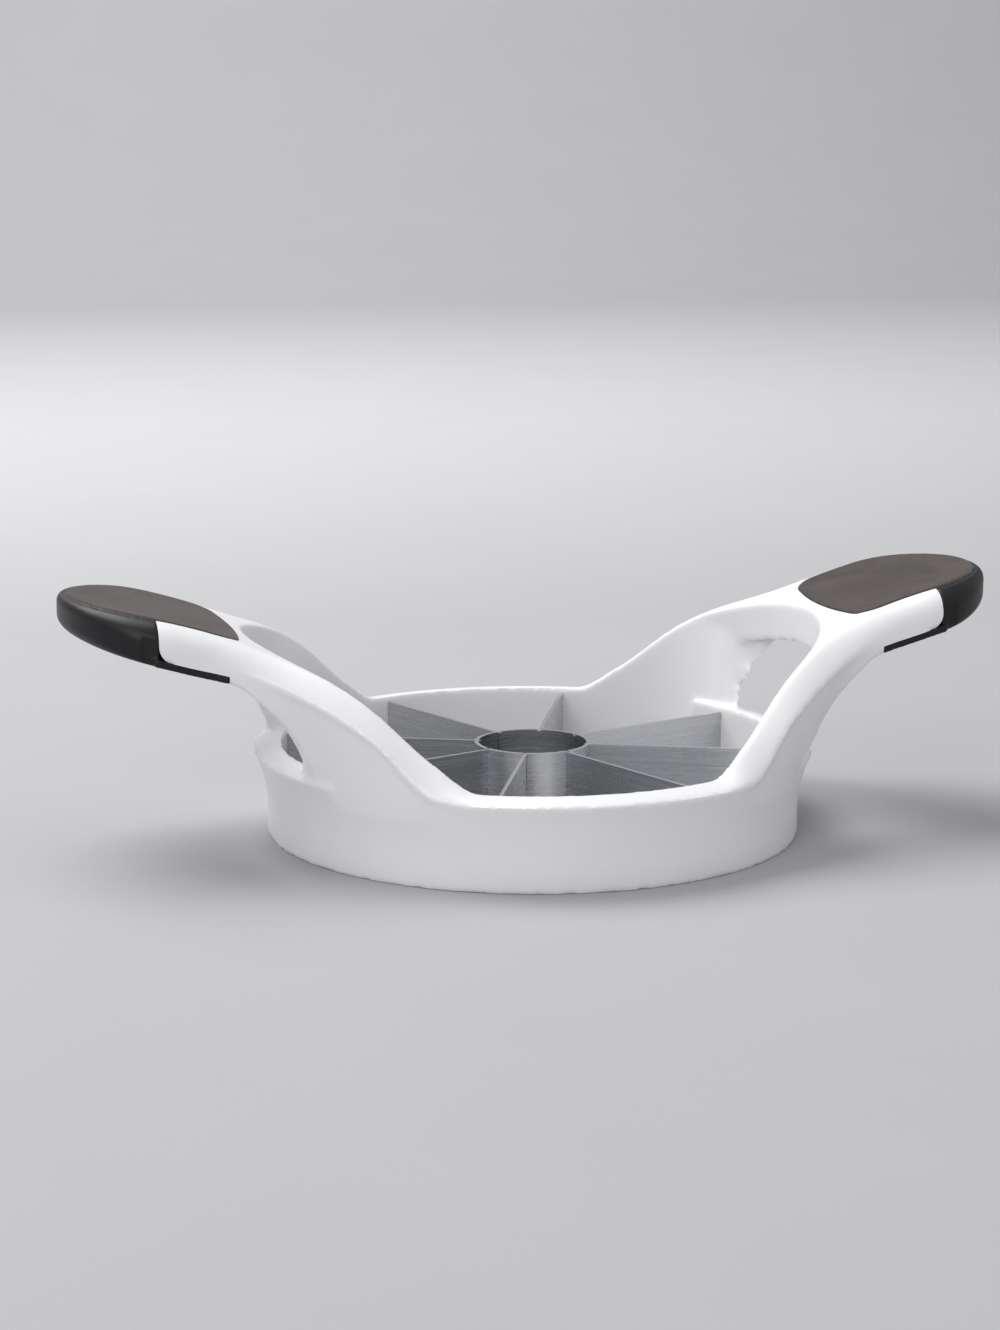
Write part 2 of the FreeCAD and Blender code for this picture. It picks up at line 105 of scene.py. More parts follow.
# %% Smooth height curves
def smooth_curve(points, first_slope=0.0):
    """A height function that runs smoothly through (out, height) points."""
    slopes = [first_slope]
    for before, here, after in zip(points, points[1:], points[2:]):
        rise_in = (here[1] - before[1]) / (here[0] - before[0])
        rise_out = (after[1] - here[1]) / (after[0] - here[0])
        share = (here[0] - before[0]) / (after[0] - before[0])
        slopes.append(rise_in * (1 - share) + rise_out * share)
    slopes.append((points[-1][1] - points[-2][1]) / (points[-1][0] - points[-2][0]))

    def height(out):
        if out <= points[0][0]:
            return points[0][1]
        index = 0
        while index < len(points) - 2 and out > points[index + 1][0]:
            index += 1
        (start, low), (end, high) = points[index], points[index + 1]
        span = end - start
        t = (out - start) / span
        if t > 1:
            return high + slopes[-1] * (out - end)
        return (
            (1 + 2 * t) * (1 - t) ** 2 * low + t * (1 - t) ** 2 * span * slopes[index]
            + t * t * (3 - 2 * t) * high + t * t * (t - 1) * span * slopes[index + 1]
        )
    return height


crest = smooth_curve(CREST_POINTS)
crease = smooth_curve(CREASE_POINTS)
underside = smooth_curve(UNDERSIDE_POINTS, first_slope=UNDERSIDE_FIRST_SLOPE)
print("handle thickness over the window, mm:", round(crest(WINDOW_OUT) - underside(WINDOW_OUT), 2))

# %% [markdown]
# ## The outline, walked from the front of the ring to the handle's end
# A path that can be walked by its length gives evenly spaced sections, and even spacing keeps a
# swept surface free of ripples.


# %% A walk along the outline of the left near side
def ease(value):
    """0 below 0, 1 above 1, and a smooth step between."""
    t = min(max(value, 0.0), 1.0)
    return t * t * (3 - 2 * t)


RING_START = Vector((-math.cos(LEAVE_ANGLE), -math.sin(LEAVE_ANGLE), 0)) * BEAD_RADIUS
ARM_DIRECTION = Vector((-math.sin(LEAVE_ANGLE), math.cos(LEAVE_ANGLE), 0))
TURN = math.pi / 2 - LEAVE_ANGLE
ARM_REACH = (-HALF_WIDTH - RING_START.y) / ARM_DIRECTION.y
NECK_TANGENT = NECK_FILLET * math.tan(TURN / 2)
NECK_CENTRE_X = (RING_START + ARM_DIRECTION * ARM_REACH).x - NECK_TANGENT
RING_LENGTH = TURN * BEAD_RADIUS
ARM_LENGTH = ARM_REACH - NECK_TANGENT
NECK_LENGTH = TURN * NECK_FILLET
SIDE_LENGTH = NECK_CENTRE_X + SIDE_END
TO_SIDE_END = RING_LENGTH + ARM_LENGTH + NECK_LENGTH + SIDE_LENGTH


def outline_at(distance):
    """The outline's point and its inward direction, a distance away from the front middle."""
    if distance <= RING_LENGTH:
        angle = math.pi / 2 - distance / BEAD_RADIUS
        inward = Vector((math.cos(angle), math.sin(angle), 0))
        return inward * -BEAD_RADIUS, inward
    distance -= RING_LENGTH
    if distance <= ARM_LENGTH:
        inward = Vector((math.cos(LEAVE_ANGLE), math.sin(LEAVE_ANGLE), 0))
        return RING_START + ARM_DIRECTION * distance, inward
    distance -= ARM_LENGTH
    if distance <= NECK_LENGTH:
        angle = LEAVE_ANGLE + distance / NECK_FILLET
        inward = Vector((math.cos(angle), math.sin(angle), 0))
        centre = Vector((NECK_CENTRE_X, -HALF_WIDTH - NECK_FILLET, 0))
        return centre + inward * NECK_FILLET, inward
    distance -= NECK_LENGTH
    return Vector((NECK_CENTRE_X - distance, -HALF_WIDTH, 0)), Vector((0, 1, 0))


print("outline from the front middle to the end of the handle's side, mm:", round(TO_SIDE_END, 1))

# %% [markdown]
# ## One section of the wall
# Across the outline the wall has a rounded band on top, a crease, a hollow web that falls to the
# ring's flare, and a plain inner face. The band is flat and tilted on the arm and turns into the
# round edge of the handle, so its fullness changes along the way. At the foot of the arm the low
# wall is tucked in a little, so that the plain ring gives the surface there.


# %% Bezier samples and the wall's section
def bezier(poles, count):
    """Points along a Bezier curve with any number of poles, without the last one."""
    points = []
    for step in range(count):
        t = step / count
        level = [Vector(pole) for pole in poles]
        while len(level) > 1:
            level = [a.lerp(b, t) for a, b in zip(level, level[1:])]
        points.append(level[0])
    return points


def inset_to_circle(point, inward, radius):
    """How far inward from an outline point a circle about the middle is met."""
    along = point.dot(inward)
    across = point.dot(point) - along * along
    return -along - math.sqrt(max(radius * radius - across, 0.0))


def flare_radius(height):
    """The ring's outer radius on its hollow flare, an arc that starts upright."""
    rise = BEAD_HEIGHT - FLARE_START
    spread = BEAD_RADIUS - WALL_RADIUS
    arc = (rise * rise + spread * spread) / (2 * spread)
    return WALL_RADIUS + arc - math.sqrt(arc * arc - (height - FLARE_START) ** 2)


FOOT_STATION = outline_at(RING_LENGTH + FOOT_STATION_SHARE * ARM_LENGTH)
RING_FULLNESS = 0.35
ARM_FULLNESS = 0.25
ROUND_FULLNESS = 4 * (math.sqrt(2) - 1) / 3
BAND_STEPS = 12
WEB_STEPS = 24
FLARE_STEPS = 12
LINE_STEPS = 6


def wall_section(point, inward):
    """The closed loop of one upright section of the wall, in millimetres."""
    out = abs(point.x)
    beyond = ease((out - FOOT_OUT - HANDLE_BLEND_DELAY) / HANDLE_BLEND)
    stands = 1 - beyond
    base = (point, inward) if out < abs(FOOT_STATION[0].x) else FOOT_STATION
    tuck = FOOT_TUCK * ease((out - FOOT_TUCK_START) / FOOT_TUCK_LENGTH)
    wall = inset_to_circle(*base, WALL_RADIUS) * stands + tuck
    middle = inset_to_circle(*base, flare_radius(FLARE_MIDDLE)) * stands
    bore = inset_to_circle(*base, BORE_RADIUS)
    crest_height = crest(abs((point + inward * BAND_WIDTH).x))
    inner = BAND_WIDTH + RIM_FLAT + beyond * INNER_SHIFT
    low_inner = inner + (bore - inner) * stands
    crease_height = crease(out)
    rising = ease((out - CREST_POINTS[0][0]) / RISE_BLEND)
    fullness = RING_FULLNESS + (ARM_FULLNESS - RING_FULLNESS) * rising
    fullness += (ROUND_FULLNESS - ARM_FULLNESS) * beyond
    near_crease = crease_height + (crest_height - crease_height) * fullness
    band = [
        (BAND_WIDTH, crest_height), (BAND_WIDTH * (1 - fullness), crest_height),
        (0, near_crease), (0, crease_height),
    ]
    lip = BAND_LIP * rising * (1 - beyond)
    drop = crease_height - FLARE_MIDDLE
    web = [
        (lip, crease_height - lip / 2),
        (max(middle * WEB_HOLLOW_INSET, lip), FLARE_MIDDLE + WEB_HOLLOW_HEIGHT * drop),
        (middle, FLARE_MIDDLE),
    ]
    flare = [(middle, FLARE_MIDDLE), (wall, (FLARE_MIDDLE + FLARE_START) / 2), (wall, FLARE_START)]
    inner_height = crest(abs((point + inward * inner).x))
    lines = [
        ((wall, FLARE_START), (wall, 0)),
        ((wall, 0), (low_inner, 0)),
        ((low_inner, 0), (low_inner, FLARE_MIDDLE)),
        ((low_inner, FLARE_MIDDLE), (inner, inner_height)),
        ((inner, inner_height), (BAND_WIDTH, crest_height)),
    ]
    stretches = [(band, BAND_STEPS), (web, WEB_STEPS), (flare, FLARE_STEPS)]
    stretches += [(line, LINE_STEPS) for line in lines]
    flat = []
    for poles, count in stretches:
        flat += bezier([(*pole, 0) for pole in poles], count)
    loop = []
    for inset, height, _ in flat:
        place = point + inward * inset
        if abs(place.x) > FOOT_OUT:
            height = max(height, underside(abs(place.x)))
        loop.append(Vector((place.x, place.y, height)))
    return loop


print("points in one wall section:", len(wall_section(*outline_at(0))))

# %% [markdown]
# ## Rolling a grid through loops
# A grid of quads is the simplest sheet there is. Its columns are laid along each loop and its rows
# from loop to loop, its long edges are merged into a tube, and the open ends are filled. Every
# body of the moulding below but the ring's ends is made this way, so each is closed before the
# bodies are united.


# %% The rolled sheet, its mirror image and its object
def rolled_sheet(bm, loops):
    """Adds a closed tube to a bmesh that passes through loops with the same number of points."""
    columns = len(loops[0])
    rows = len(loops) - 1
    made = bmesh.ops.create_grid(bm, x_segments=columns, y_segments=rows, size=0.5)
    for vert in made["verts"]:
        column = round((vert.co.x + 0.5) * columns) % columns
        row = round((vert.co.y + 0.5) * rows)
        vert.co = loops[row][column] * MM
    bmesh.ops.remove_doubles(bm, verts=made["verts"], dist=TINY)
    rims = [edge for edge in bm.edges if edge.is_boundary]
    bmesh.ops.holes_fill(bm, edges=rims, sides=0)
    return bm


def mirrored(bm, axis):
    """Adds the mirror image of everything in a bmesh across the middle, facing outwards."""
    copied = bmesh.ops.duplicate(bm, geom=bm.verts[:] + bm.edges[:] + bm.faces[:])["geom"]
    verts = [item for item in copied if isinstance(item, bmesh.types.BMVert)]
    scale = Vector((1, 1, 1))
    scale[axis] = -1
    bmesh.ops.scale(bm, vec=scale, verts=verts)
    bmesh.ops.recalc_face_normals(bm, faces=bm.faces[:])


def as_object(bm, name):
    """Turns a bmesh into an object of the scene."""
    bmesh.ops.recalc_face_normals(bm, faces=bm.faces[:])
    mesh = bpy.data.meshes.new(name)
    bm.to_mesh(mesh)
    bm.free()
    made = bpy.data.objects.new(name, mesh)
    bpy.context.scene.collection.objects.link(made)
    return made


# %% [markdown]
# ## The outer wall
# Sections stand square to the outline every millimetre and a half, from one handle's side round
# the front of the ring to the other. The far wall is its mirror image.

# %% The near and far walls
STATION_SPACING = 1.5
station_count = round(TO_SIDE_END / STATION_SPACING)
left_stations = [outline_at(TO_SIDE_END * step / station_count) for step in range(station_count, 0, -1)]


def to_right(station):
    """The mirror image of a station, on the right side."""
    point, inward = station
    return Vector((-point.x, point.y, 0)), Vector((-inward.x, inward.y, 0))


stations = left_stations + [outline_at(0)] + [to_right(station) for station in reversed(left_stations)]
walls = rolled_sheet(bmesh.new(), [wall_section(*station) for station in stations])
mirrored(walls, 1)
print("wall stations:", len(stations), "faces:", len(walls.faces))

# %% [markdown]
# ## The ends of the ring under the handles
# Between the feet of the arms the ring is plain, so its section is simply spun about the middle.
# The low wall alone is spun a little farther, since it also shows under the foot of each arm.

# %% The ring's two ends
BEAD_SWEEP = math.radians(64)
LOW_WALL_SWEEP = math.radians(84)


def spun_wall(bm, section, sweep):
    """Adds a closed stretch of the ring to a bmesh, centred on the left handle."""
    verts = [bm.verts.new(place * MM) for place in section]
    face = bm.faces.new(verts)
    start = Matrix.Rotation(-math.pi / 2 - sweep / 2, 3, "Z")
    bmesh.ops.rotate(bm, cent=(0, 0, 0), verts=verts, matrix=start)
    bmesh.ops.spin(
        bm, geom=[face], cent=(0, 0, 0), axis=(0, 0, 1), angle=sweep, steps=round(math.degrees(sweep)),
        use_merge=False, use_duplicate=False,
    )
    rims = [edge for edge in bm.edges if edge.is_boundary]
    bmesh.ops.holes_fill(bm, edges=rims, sides=0)


ends = bmesh.new()
front_section = wall_section(*outline_at(0))
spun_wall(ends, front_section, BEAD_SWEEP)
spun_wall(ends, [place for place in front_section if place.z <= FLARE_MIDDLE], LOW_WALL_SWEEP)
mirrored(ends, 0)
print("ring end faces:", len(ends.faces))

# %% [markdown]
# ## The plate between the arms
# Under the pad the two arms are joined by a plate that ends towards the ring in a round crotch.
# Its loops stand side by side across the handle, each a slice along it.

# %% The plates
PLATE_INSET = 4.5
CROTCH_CENTRE = (CROTCH_OUT - BORE_RADIUS) / (1 - math.cos(LEAVE_ANGLE))
CROTCH_RADIUS = CROTCH_OUT - CROTCH_CENTRE
PLATE_HALF_WIDTH = 31.5
PLATE_SLICES = 64
SLICE_STEPS = 26
SHORTEST_SLICE = 0.5
arm_line = []
for station in left_stations:
    place = station[0] + station[1] * PLATE_INSET
    arm_line.append((abs(place.y), abs(place.x)))


def plate_reach(across):
    """How far out the plate runs at a distance from the handle's middle line."""
    for (wide, near), (narrow, far) in zip(arm_line[::-1], arm_line[-2::-1]):
        if narrow <= across <= wide:
            return near + (far - near) * (wide - across) / max(wide - narrow, TINY)
    return SIDE_END


def plate_slice(y):
    """One loop of the plate in an upright plane along the handle."""
    first = CROTCH_CENTRE + math.sqrt(CROTCH_RADIUS ** 2 - y * y)
    last = max(plate_reach(abs(y)), first + SHORTEST_SLICE)
    outs = [first + (last - first) * step / SLICE_STEPS for step in range(SLICE_STEPS + 1)]
    top = [Vector((-out, y, crest(out) - PAD_DISH)) for out in outs]
    low = []
    for out in reversed(outs):
        low.append(Vector((-out, y, max(underside(out), crest(out) - WEB_THICKNESS))))
    return top + low


plate_ys = [PLATE_HALF_WIDTH * (2 * step / PLATE_SLICES - 1) for step in range(PLATE_SLICES + 1)]
plates = rolled_sheet(bmesh.new(), [plate_slice(y) for y in plate_ys])
mirrored(plates, 0)
print("crotch radius, mm:", round(CROTCH_RADIUS, 1))

# %% [markdown]
# ## The handle's rounded end
# The end is drawn as a half ellipse in plan. Each loop stands across the handle: over the top,
# round the upper edge, down the side and back underneath, with both edges rounded.

# %% The handle ends
END_START = 66.0
TOP_ROUND = 5.0
LOW_ROUND = 3.0
TOP_ROUND_SHARE = 0.62
LOW_ROUND_SHARE = 0.36
STRAIGHT_LOOPS = 10
END_LOOPS = 30
ACROSS_STEPS = 40


def outside_outline(out, y, depth, half_width):
    """How far outside a plan outline with straight sides and a half-ellipse end a point is."""
    if out <= SIDE_END:
        return abs(y) - half_width
    along = (out - SIDE_END) / depth
    across = y / half_width
    reach = max(math.hypot(along, across), TINY)
    slope = math.hypot(along / depth, across / half_width) / reach
    return (reach - 1) / slope


def distance_to_edge(out, y):
    """How far inside the handle's plan outline a point is, close to the outline."""
    return max(-outside_outline(out, y, END_DEPTH, HALF_WIDTH), 0.0)


def half_width_at(out):
    """Half the handle's width, a distance out from the middle."""
    if out <= SIDE_END:
        return HALF_WIDTH
    return HALF_WIDTH * math.sqrt(max(1 - ((out - SIDE_END) / END_DEPTH) ** 2, 0.0))


def rounding(distance, radius):
    """How far a rounded edge has dropped, a distance in from it."""
    if distance >= radius:
        return 0.0
    return radius - math.sqrt(radius * radius - (radius - distance) ** 2)


def end_loop(out):
    """One loop across the handle's end."""
    width = half_width_at(out)
    thickness = crest(out) - underside(out)
    top_round = min(TOP_ROUND, TOP_ROUND_SHARE * thickness)
    low_round = min(LOW_ROUND, LOW_ROUND_SHARE * thickness)
    top = []
    low = []
    for step in range(ACROSS_STEPS + 1):
        y = width * math.sin(math.pi * (step / ACROSS_STEPS - 0.5))
        inside = distance_to_edge(out, y)
        top.append(Vector((-out, y, crest(out) - rounding(inside, top_round))))
        low.append(Vector((-out, y, underside(out) + rounding(inside, low_round))))
    return top + low[::-1]


straight = [END_START + (SIDE_END - END_START) * step / STRAIGHT_LOOPS for step in range(STRAIGHT_LOOPS)]
quarter_turn = [math.pi / 2 * step / END_LOOPS for step in range(END_LOOPS + 1)]
curved = [SIDE_END + END_DEPTH * math.sin(angle) for angle in quarter_turn]
handle_ends = rolled_sheet(bmesh.new(), [end_loop(out) for out in straight + curved])
mirrored(handle_ends, 0)
print("handle end faces:", len(handle_ends.faces))

# %% [markdown]
# ## Uniting the bodies
# A voxel remesh walks a fine lattice through all the closed bodies and wraps one skin round them.
# It also rounds every corner by about the lattice's size, which is just what a moulding tool's
# ground edges do to plastic. A little smoothing then takes the lattice's ripple away.

# %% The whole outer form as one smooth skin
VOXEL = 0.6
SMOOTHING_PASSES = 3
SMOOTHING_FACTOR = 0.5


def applied(obj):
    """Replaces an object's mesh by what its modifiers make of it."""
    graph = bpy.context.evaluated_depsgraph_get()
    mesh = bpy.data.meshes.new_from_object(obj.evaluated_get(graph))
    obj.modifiers.clear()
    obj.data = mesh
    return obj


def joined(name, sheets):
    """Puts several bmeshes into one object."""
    whole = bmesh.new()
    for sheet in sheets:
        bmesh.ops.recalc_face_normals(sheet, faces=sheet.faces[:])
        part = bpy.data.meshes.new("part")
        sheet.to_mesh(part)
        sheet.free()
        whole.from_mesh(part)
    made = bpy.data.meshes.new(name)
    bmesh.ops.triangulate(whole, faces=whole.faces[:])
    whole.to_mesh(made)
    whole.free()
    obj = bpy.data.objects.new(name, made)
    bpy.context.scene.collection.objects.link(obj)
    return obj


def voxel_skin(obj, voxel, passes):
    """Wraps one skin round an object's bodies and takes the lattice's ripple out of it."""
    remesh = obj.modifiers.new("skin", "REMESH")
    remesh.mode = "VOXEL"
    remesh.voxel_size = voxel * MM
    applied(obj)
    bm = bmesh.new()
    bm.from_mesh(obj.data)
    for _ in range(passes):
        bmesh.ops.smooth_vert(
            bm, verts=bm.verts, factor=SMOOTHING_FACTOR, use_axis_x=True, use_axis_y=True, use_axis_z=True,
        )
    bm.to_mesh(obj.data)
    bm.free()


blank = joined("blank", [walls, ends, plates, handle_ends])
voxel_skin(blank, VOXEL, SMOOTHING_PASSES)
for vert in blank.data.vertices:
    vert.co.z = max(vert.co.z, 0.0)
print("skin faces:", len(blank.data.polygons))
print("skin size, mm:", [round(value / MM, 2) for value in blank.dimensions])

# %% [markdown]
# ## Cutting the white moulding back for the grips
# The black grip is the handle's end, a strip that runs on under the white window, and a pad that is
# let into the top. A side view drawn across the handle and a pad-shaped room, united into one
# cutter on each side, describe where the white makes room for it.

# %% The cutters of the black zone
STRIP_END = 67.2
STRIP_THICKNESS = 1.5
WINDOW_CORNER = 3.5
PAD_HALF_WIDTH = 19.8
PAD_END_OUT = 62.4
PAD_END_RADIUS = 90.0
PAD_CORNER = 4.0
PAD_DEPTH = 2.2
CLEAR = 20.0
ZONE_HALF_WIDTH = 40.0
STRIP_EDGE_STEPS = 12
CORNER_STEPS = 8
ROOM_STEPS = 20
ROOM_SLICES = 24


def strip_outline():
    """The side view of the strip and the end, as points in the handle's upright plane."""
    points = [(REACH + CLEAR, 0.0), (STRIP_END, 0.0)]
    corner_start = WINDOW_OUT - WINDOW_CORNER
    for step in range(STRIP_EDGE_STEPS + 1):
        out = STRIP_END + (corner_start - STRIP_END) * step / STRIP_EDGE_STEPS
        points.append((out, underside(out) + STRIP_THICKNESS))
    floor = underside(corner_start) + STRIP_THICKNESS
    for step in range(1, CORNER_STEPS + 1):
        angle = math.pi / 2 * step / CORNER_STEPS
        out = corner_start + WINDOW_CORNER * math.sin(angle)
        points.append((out, floor + WINDOW_CORNER * (1 - math.cos(angle))))
    points += [(WINDOW_OUT, crest(REACH) + CLEAR), (REACH + CLEAR, crest(REACH) + CLEAR)]
    return points


def pad_start(y):
    """Where the pad begins beside the ring, at a distance from the handle's middle line."""
    first = PAD_END_OUT + PAD_END_RADIUS - math.sqrt(PAD_END_RADIUS ** 2 - y * y)
    past_corner = abs(y) - (PAD_HALF_WIDTH - PAD_CORNER)
    if past_corner > 0:
        first += PAD_CORNER - math.sqrt(max(PAD_CORNER ** 2 - past_corner ** 2, 0.0))
    return first


def pad_room(y):
    """One upright slice of the room for the pad, along the handle."""
    first = pad_start(y)
    outs = [first + (WINDOW_OUT + CLEAR - first) * step / ROOM_STEPS for step in range(ROOM_STEPS + 1)]
    low = [Vector((-out, y, crest(out) - PAD_DEPTH)) for out in outs]
    high = [Vector((-out, y, crest(REACH) + CLEAR)) for out in reversed(outs)]
    return low + high


def turned_right(bm):
    """Turns a left-hand bmesh into the right-hand one, facing outwards."""
    bmesh.ops.scale(bm, vec=(-1, 1, 1), verts=bm.verts)
    bmesh.ops.recalc_face_normals(bm, faces=bm.faces[:])
    return bm


def swing(count):
    """Values from -1 to 1 that crowd together near both ends."""
    return [math.sin(math.pi * (step / count - 0.5)) for step in range(count + 1)]


def boolean(obj, cutter, operation):
    """One exact boolean, applied at once."""
    made = obj.modifiers.new(operation.lower(), "BOOLEAN")
    made.operation = operation
    made.solver = "EXACT"
    made.object = cutter
    return applied(obj)


strip_loops = []
for y in (-ZONE_HALF_WIDTH, ZONE_HALF_WIDTH):
    strip_loops.append([Vector((-out, y, height)) for out, height in strip_outline()])
left_zone = as_object(rolled_sheet(bmesh.new(), strip_loops), "left_zone")
room_loops = [pad_room(PAD_HALF_WIDTH * share) for share in swing(ROOM_SLICES)]
room = as_object(rolled_sheet(bmesh.new(), room_loops), "pad_room")
boolean(left_zone, room, "UNION")
right_mesh = bmesh.new()
right_mesh.from_mesh(left_zone.data)
right_zone = as_object(turned_right(right_mesh), "right_zone")
print("faces of one cutter:", len(left_zone.data.polygons))

# %% [markdown]
# ## The cut
# An exact boolean with each side's cutter leaves a crisp edge, as the parting line between two
# mouldings has.

# %% The white moulding
moulding = blank
moulding.name = "moulded_frame"
for zone in (left_zone, right_zone):
    boolean(moulding, zone, "DIFFERENCE")
print("moulding faces:", len(moulding.data.polygons))

# %% [markdown]
# ## The soft grips
# The grip's end has a rounded shoulder. Its top is a leaf-shaped pad that stands a little proud
# inside a fine groove, is slightly dished, and runs on over the white handle. Just before the white
# window the side steps in. Heights over a plan position are the easy way to say all this, so the
# end is rolled from loops across the handle and the pad from slices along it.

# %% The form of the left grip's end
SHOULDER_AT_TIP = 2.2
LOW_ROUND_AT_WINDOW = 0.8
LOW_ROUND_AT_TIP = 2.2
STEP_OUT = 84.0
STEP_DEPTH = 0.45
STEP_BLEND = 0.8
LEAF_TIP_INSET = 1.7
GROOVE_DEPTH = 0.7
GROOVE_WIDTH = 0.5
LEAF_PROUD = 0.22
LEAF_EDGE = 0.5
LEAF_DISH = 0.35
LEAF_DISH_RUN = 9.0
LEAF_DEPTH = END_DEPTH - LEAF_TIP_INSET
LEAF_SIDE_SHARE = 0.999
SHOULDER_SHARE = 0.6
GRIP_ACROSS_STEPS = 160
GRIP_END_LOOPS = 70
LEAF_SLICES = 90
LEAF_SLICE_STEPS = 70


def leaf_distance(out, y):
    """How far outside the pad's outline a point of the handle's end lies."""
    return outside_outline(out, y, LEAF_DEPTH, PAD_HALF_WIDTH)


def grip_end_loop(out):
    """One loop across the handle's black end, with its shoulder, groove and stepped side."""
    width = half_width_at(out) - STEP_DEPTH * ease((STEP_OUT - out) / STEP_BLEND)
    thickness = crest(out) - underside(out)
    towards_tip = ease((out - WINDOW_OUT) / (REACH - WINDOW_OUT))
    shoulder = min(TOP_ROUND + (SHOULDER_AT_TIP - TOP_ROUND) * towards_tip, SHOULDER_SHARE * thickness)
    low_round = LOW_ROUND_AT_WINDOW + (LOW_ROUND_AT_TIP - LOW_ROUND_AT_WINDOW) * towards_tip
    top = []
    low = []
    for share in swing(GRIP_ACROSS_STEPS):
        y = width * share
        inside = distance_to_edge(out, y)
        groove = GROOVE_DEPTH * math.exp(-(leaf_distance(out, y) / GROOVE_WIDTH) ** 2)
        top.append(Vector((-out, y, crest(out) - rounding(inside, shoulder) - groove)))
        low.append(Vector((-out, y, underside(out) + rounding(inside, low_round))))
    return top + low[::-1]


def leaf_slice(y):
    """One upright slice of the pad, along the handle, from beside the ring to near the tip."""
    first = pad_start(y)
    last = SIDE_END + LEAF_DEPTH * math.sqrt(max(1 - (y / PAD_HALF_WIDTH) ** 2, 0.0))
    outs = [first + (last - first) * (share + 1) / 2 for share in swing(LEAF_SLICE_STEPS)]
    top = []
    for out in outs:
        inside = max(min(-leaf_distance(out, y), out - first), 0.0)
        dish = LEAF_DISH * ease((inside - LEAF_EDGE) / LEAF_DISH_RUN)
        top.append(Vector((-out, y, crest(out) + LEAF_PROUD - dish - rounding(inside, LEAF_EDGE))))
    low = [Vector((-out, y, crest(out) - PAD_DEPTH)) for out in reversed(outs)]
    return top + low


end_span = REACH - WINDOW_OUT
quarter_turn = [math.pi / 2 * step / GRIP_END_LOOPS for step in range(GRIP_END_LOOPS + 1)]
end_outs = [WINDOW_OUT + end_span * math.sin(angle) for angle in quarter_turn]
grip_end = rolled_sheet(bmesh.new(), [grip_end_loop(out) for out in end_outs])
leaf_ys = [PAD_HALF_WIDTH * share * LEAF_SIDE_SHARE for share in swing(LEAF_SLICES)]
leaf = rolled_sheet(bmesh.new(), [leaf_slice(y) for y in leaf_ys])
print("grip end faces:", len(grip_end.faces), "pad faces:", len(leaf.faces))

# %% [markdown]
# ## The strip, and the whole grip as one skin
# Under the white window the black runs on as a thin strip that widens with the neck. The end, the
# pad and the strip overlap, so a finer lattice than the moulding's wraps them into one body. The
# right grip is its mirror image.

# %% The strip under the window, and the two grips
GRIP_VOXEL = 0.32
GRIP_SMOOTHING = 2
STRIP_OVERLAP = 1.0
STRIP_SLICES = 40
STRIP_ACROSS_STEPS = 40


def strip_loop(out):
    """One loop across the handle round the thin strip under the white window."""
    into_neck = max(-NECK_CENTRE_X - out, 0.0)
    width = HALF_WIDTH + NECK_FILLET - math.sqrt(NECK_FILLET ** 2 - into_neck ** 2)
    low = [Vector((-out, width * share, underside(out))) for share in swing(STRIP_ACROSS_STEPS)]
    return low + [place + Vector((0, 0, STRIP_THICKNESS)) for place in reversed(low)]


strip_length = WINDOW_OUT + STRIP_OVERLAP - STRIP_END
strip_outs = [STRIP_END + strip_length * step / STRIP_SLICES for step in range(STRIP_SLICES + 1)]
strip = rolled_sheet(bmesh.new(), [strip_loop(out) for out in strip_outs])
left_grip = joined("left_soft_grip", [grip_end, leaf, strip])
voxel_skin(left_grip, GRIP_VOXEL, GRIP_SMOOTHING)
right_mesh = bmesh.new()
right_mesh.from_mesh(left_grip.data)
right_grip = as_object(turned_right(right_mesh), "right_soft_grip")
for spare in (room, left_zone, right_zone):
    bpy.data.objects.remove(spare)
for piece in (moulding, left_grip, right_grip):
    size = [round(value / MM, 2) for value in piece.dimensions]
    print(piece.name, "faces:", len(piece.data.polygons), "box, mm:", size)

# %% [markdown]
# ## Tying the pieces to the construction model
# Each new piece rides on the one rigid body and stands for its construction solid.

# %% Bodies, replaced solids and smooth shading
SHARP_ANGLE = math.radians(40)
for piece, node, slot in (
    (moulding, "frame", "white_moulding"),
    (left_grip, "left_grip", "soft_grip"),
    (right_grip, "right_grip", "soft_grip"),
):
    piece.data.materials.clear()
    piece.data.shade_smooth()
    piece.data.set_sharp_from_angle(angle=SHARP_ANGLE)
    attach(piece, "root")
    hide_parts(node)
print("pieces:", [piece.name for piece in (moulding, left_grip, right_grip)])

# %% [markdown]
# ## Helpers for the finishes
# Colours are picked as hex values, as a maker's colour card gives them, and turned to linear light.
# One function adds a node, sets it up and links its inputs.


# %% Colours, nodes and pattern scales
def linear(code):
    """A hex colour as linear light, by the standard sRGB curve."""
    values = []
    for index in (0, 2, 4):
        share = int(code[index:index + 2], 16) / 255
        values.append(share / 12.92 if share <= 0.04045 else ((share + 0.055) / 1.055) ** 2.4)
    return (*values, 1.0)


def add_node(tree, kind, inputs, **settings):
    """Adds a node, sets it up and fills its inputs with values or links."""
    node = tree.nodes.new(kind)
    for name, value in settings.items():
        setattr(node, name, value)
    for name, value in inputs.items():
        if isinstance(value, bpy.types.NodeSocket):
            tree.links.new(value, node.inputs[name])
        else:
            node.inputs[name].default_value = value
    return node


def between(tree, factor, first, second):
    """A mix of two hex colours by the strength of a pattern."""
    inputs = {"Factor": factor, "A": linear(first), "B": linear(second)}
    return add_node(tree, "ShaderNodeMix", inputs, data_type="RGBA")


def noise(tree, place, width, detail):
    """A cloudy pattern whose grains are about this many millimetres wide."""
    inputs = {"Vector": place, "Scale": per_grain(width), "Detail": detail}
    return add_node(tree, "ShaderNodeTexNoise", inputs)


